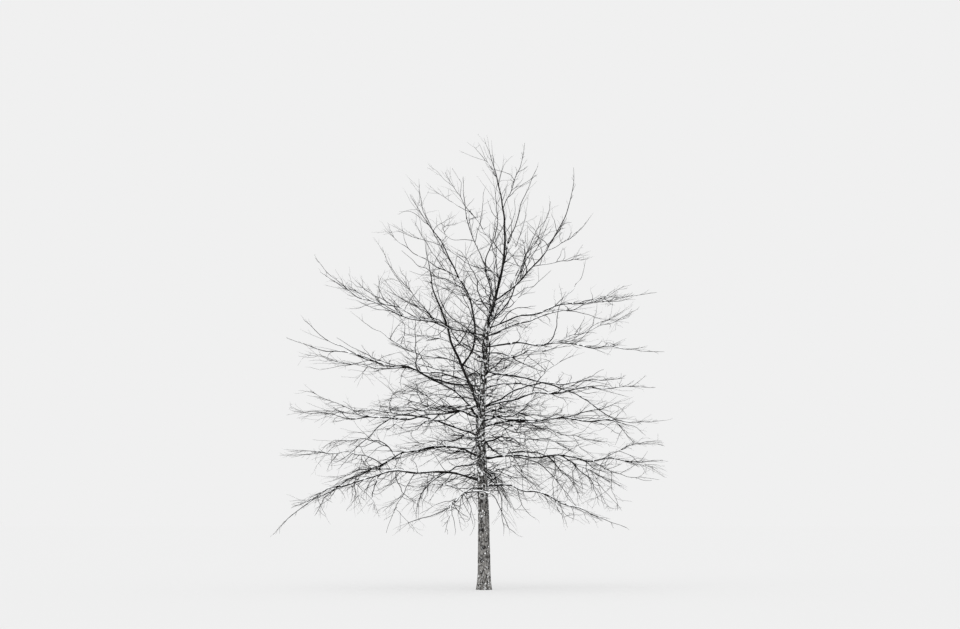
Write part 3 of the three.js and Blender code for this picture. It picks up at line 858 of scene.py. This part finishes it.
def snowOn(name, form, paths, radii, perMetre, depth, seed, joints, sides):
    # Snow lies in patches along the upper side of wood that isn't too steep. A patch is a flat round
    # section carried along the limb's line, raised so that most of it stands above the bark, and
    # swelling from nothing at one end to nothing at the other.
    rng = np.random.default_rng(seed)
    shape = snowRule[form]
    lengths = np.linalg.norm(np.diff(paths, axis=1), axis=2).sum(1)
    owner = np.repeat(np.arange(len(paths)), rng.poisson(lengths * perMetre))
    reach = np.minimum(rng.uniform(shape["shortest"], shape["longest"], len(owner)) / lengths[owner], 0.8)
    begin = rng.uniform(0, 1, len(owner)) * (0.98 - reach)
    part = begin[:, None] + np.linspace(0, 1, joints + 1) * reach[:, None]
    line, girth, _ = alongPaths(paths, radii, owner[:, None], part)
    steep = np.abs(unit(line[:, -1] - line[:, 0])[:, 2])
    keep = steep < shape["steepest"] * rng.uniform(0.6, 1.1, len(owner))
    keep &= girth.min(1) > snowRule["thinnest"]
    line, girth, steep = line[keep], girth[keep], steep[keep]
    swell = np.sin(math.pi * np.linspace(0, 1, joints + 1)) ** 0.5
    lumpy = rng.uniform(0.7, 1.3, girth.shape)
    share = np.clip((girth - snowRule["thinnest"]) / (snowRule["thick"] - snowRule["thinnest"]), 0.25, 1)
    high = (depth * girth + snowRule["high"] * share) * share ** 0.5 * swell * lumpy
    high = high * (1 - 0.5 * steep[:, None]) + snowRule["edge"]
    wide = (shape["width"] * girth + snowRule["wide"] * share) * swell + snowRule["edge"]
    line = line + up * (girth * shape["raise"])[..., None]
    tangents = unit(np.gradient(line, axis=1))
    side = unit(np.cross(tangents, up))
    above = np.cross(side, tangents)
    angle = -np.arange(sides) * 2 * math.pi / sides
    corners = (line[:, :, None] + side[:, :, None] * np.cos(angle)[:, None] * wide[:, :, None, None]
               + above[:, :, None] * np.sin(angle)[:, None] * high[:, :, None, None])
    loops, sizes = tubeFaces(len(line), joints + 1, sides)
    piece = newPiece(name, corners.reshape(-1, 3), loops, sizes, [settledSnow])
    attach(piece, "root")
    print(name, "patches", len(line), "triangles", len(line) * (joints * sides * 2 + 2 * (sides - 2)))


snowOn("snow_on_boughs", "patch", boughPaths, boughRadii, 5.5, 1.0, 71, 8, 8)
snowOn("snow_on_limbs", "patch", limbs, limbRadii, 4.0, 1.2, 72, 6, 6)
snowOn("snow_on_side_limbs", "patch", sideLimbs, sideRadii, 4.0, 1.2, 73, 6, 6)
snowOn("snow_on_branches", "patch", branches, branchRadii, 2.6, 1.2, 74, 4, 6)
snowOn("snow_clumps_on_boughs", "clump", boughPaths, boughRadii, 1.3, 1.2, 75, 5, 8)
snowOn("snow_in_forks", "patch", boughPaths[:, 1:6], boughRadii[:, 1:6], 4.0, 1.4, 76, 5, 8)
snowOn("snow_clumps_inside", "clump", inner, innerRadii, 2.5, 1.6, 77, 4, 6)
snowOn("snow_clumps_on_limbs", "clump", sideLimbs, sideRadii, 1.5, 1.6, 78, 4, 6)

trunkSnow = {
    "count": 640, "rings": 3, "sides": 9, "lowest": 0.02, "highest": 5.6,
    "size": ([1.4, 2.0, 3.0], [0.5, 1.0, 1.35]),      # height, and size of a lens there
    "rimSunk": 0.004, "backSunk": 0.008,              # metres into the bark
}


def snowOnTrunk():
    # Blown snow stuck to the bark in thin lenses: each is a round patch laid on the bark, highest in
    # its middle (height * (1 - r * r)) and sunk a little at its ragged rim, where r runs from 0 to 1.
    look = trunkSnow
    rng = np.random.default_rng(81)
    count = look["count"]
    height = look["lowest"] + (look["highest"] - look["lowest"]) * rng.beta(1.2, 1.1, count)
    row = np.searchsorted(trunkPoints[:, 0, 2], height)
    column = rng.integers(0, trunkPoints.shape[1], count)
    middle = trunkPoints[row, column]
    out = trunkWall[row, column] * np.array([1, 1, 0])
    side = np.cross(up, out)
    scale = np.interp(height, *look["size"])
    wide = rng.uniform(0.006, 0.020, count) * np.where(rng.uniform(0, 1, count) < 0.25, 1.8, 1) * scale
    tall = wide * rng.uniform(0.7, 1.7, count)
    thick = wide * rng.uniform(0.22, 0.4, count)
    girth = np.interp(height, trunkHeights, trunkReach)
    r = np.linspace(0, 1, look["rings"] + 1)[1:]
    angle = np.arange(look["sides"]) * 2 * math.pi / look["sides"]
    ragged = rng.uniform(0.72, 1.2, (count, 1, look["sides"]))
    x = wide[:, None, None] * r[:, None] * np.cos(angle) * ragged
    z = tall[:, None, None] * r[:, None] * np.sin(angle) * ragged
    rise = thick[:, None, None] * (1 - r[:, None] ** 2) - look["rimSunk"] * r[:, None] ** 3
    rise = rise - x ** 2 / (2 * girth[:, None, None])
    corners = (middle[:, None, None] + side[:, None, None] * x[..., None] + up * z[..., None]
               + out[:, None, None] * rise[..., None])
    top = middle + out * thick[:, None]
    back = middle - out * look["backSunk"]
    corners = np.concatenate([top[:, None], corners.reshape(count, -1, 3), back[:, None]], 1)
    # a fan round the top, quads from ring to ring, and a fan behind from the rim to the back
    ring = np.arange(look["sides"])
    after = (ring + 1) % look["sides"]
    here = np.arange(look["rings"] - 1)[:, None] * look["sides"] + 1
    beyond = here + look["sides"]
    rim = (look["rings"] - 1) * look["sides"] + 1
    fan = np.stack([0 * ring, 1 + ring, 1 + after], 1)
    quads = np.stack([here + ring, beyond + ring, beyond + after, here + after], -1).reshape(-1, 4)
    rear = np.stack([rim + after, rim + ring, 0 * ring + corners.shape[1] - 1], 1)
    base = (np.arange(count) * corners.shape[1])[:, None]
    loops = np.concatenate([base + faces.reshape(1, -1) for faces in (fan, quads, rear)], 1)
    sizes = np.concatenate([np.full(len(fan), 3), np.full(len(quads), 4), np.full(len(rear), 3)])
    sizes = np.tile(sizes, count)
    piece = newPiece("snow_on_trunk", corners.reshape(-1, 3), loops.ravel(), sizes, [settledSnow])
    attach(piece, "root")
    print("snow on trunk, lenses", count)


snowOnTrunk()
